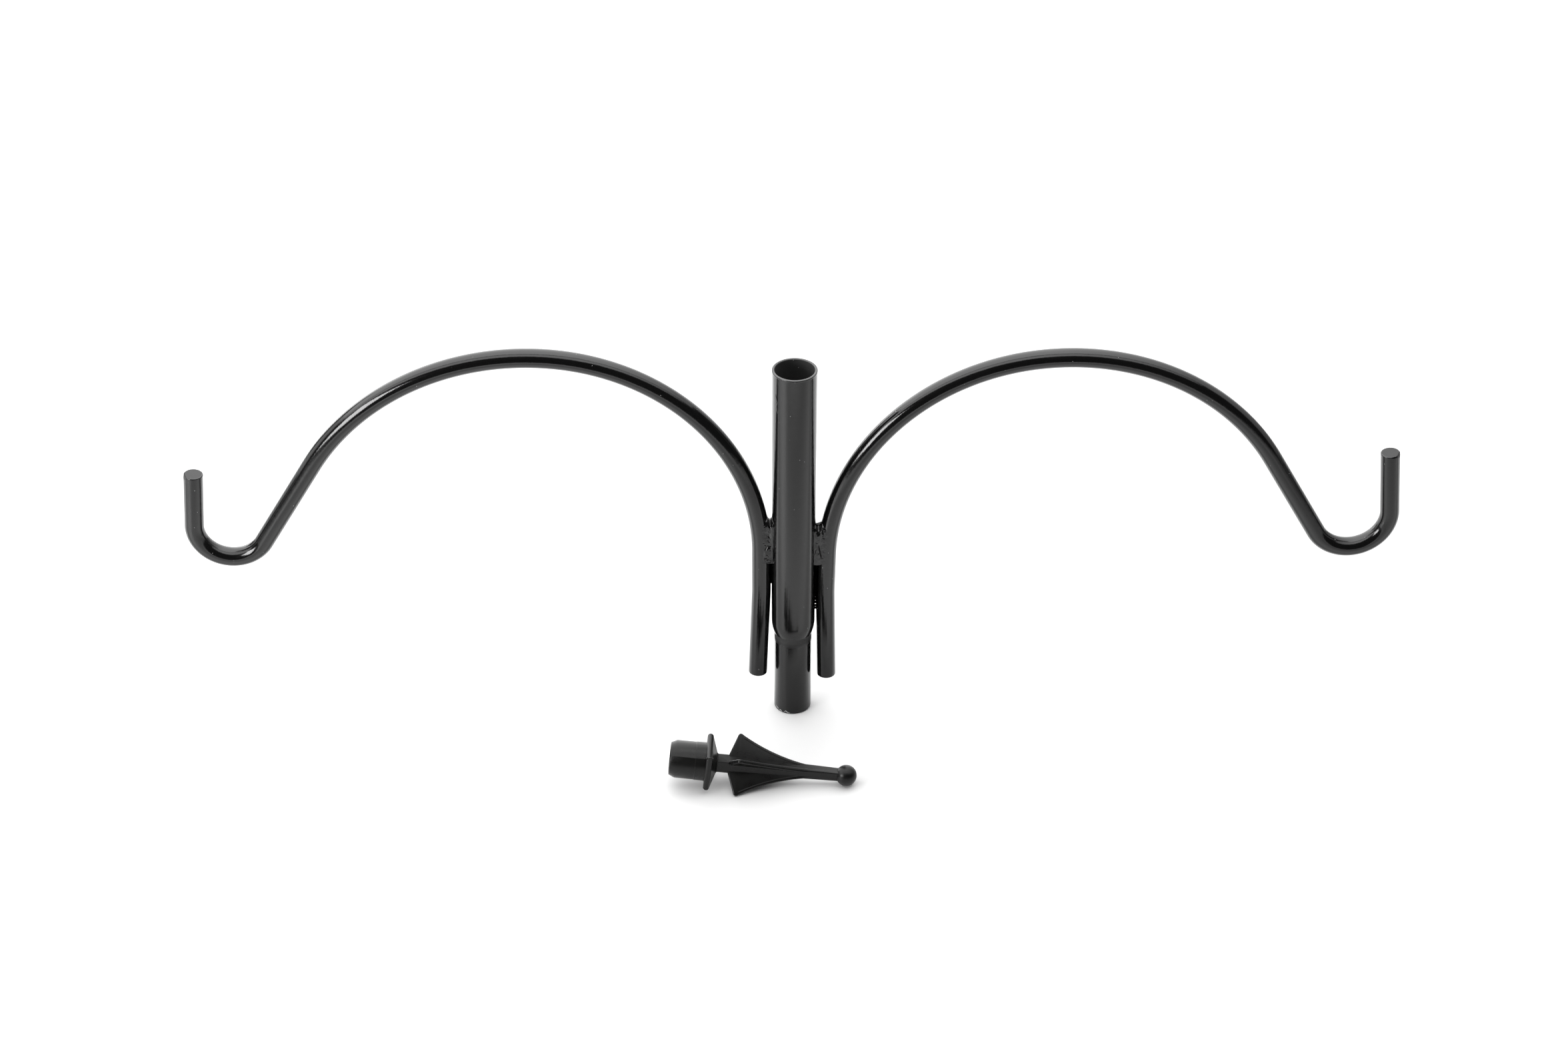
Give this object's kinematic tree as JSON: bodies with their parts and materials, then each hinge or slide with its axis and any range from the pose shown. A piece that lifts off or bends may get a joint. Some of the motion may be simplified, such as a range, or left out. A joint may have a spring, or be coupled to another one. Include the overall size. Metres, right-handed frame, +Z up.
{
  "type": "bird feeder pole",
  "caption": "Top section of a garden bird feeder pole: a swaged steel tube with welded curved hook arms and a push-in spear finial lying beside it.",
  "frame": {"origin": "on the floor, on the tube's centre line from left to right, midway between the tube's rear and the lying finial's front", "axes": "+Z up along the tube, +X along the arms to the right seen from the front, -Y towards the lying finial"},
  "size_m": [0.6096, 0.0882, 0.217],
  "materials": {
    "powder_coat": "glossy black powder coat over steel",
    "moulded_plastic": "satin black moulded plastic"
  },
  "bodies": {
    "hanger": {"pole_tube": "powder_coat", "left_hook_arm": "powder_coat", "right_hook_arm": "powder_coat", "left_front_weld": "powder_coat", "left_rear_weld": "powder_coat", "right_front_weld": "powder_coat", "right_rear_weld": "powder_coat"},
    "finial": {"finial": "moulded_plastic"}
  },
  "joints": [
    {"name": "finial_lift", "type": "slide", "parent": "hanger", "child": "finial", "axis": [0, 0, 1], "range_m": [0, 0.25]}
  ]
}
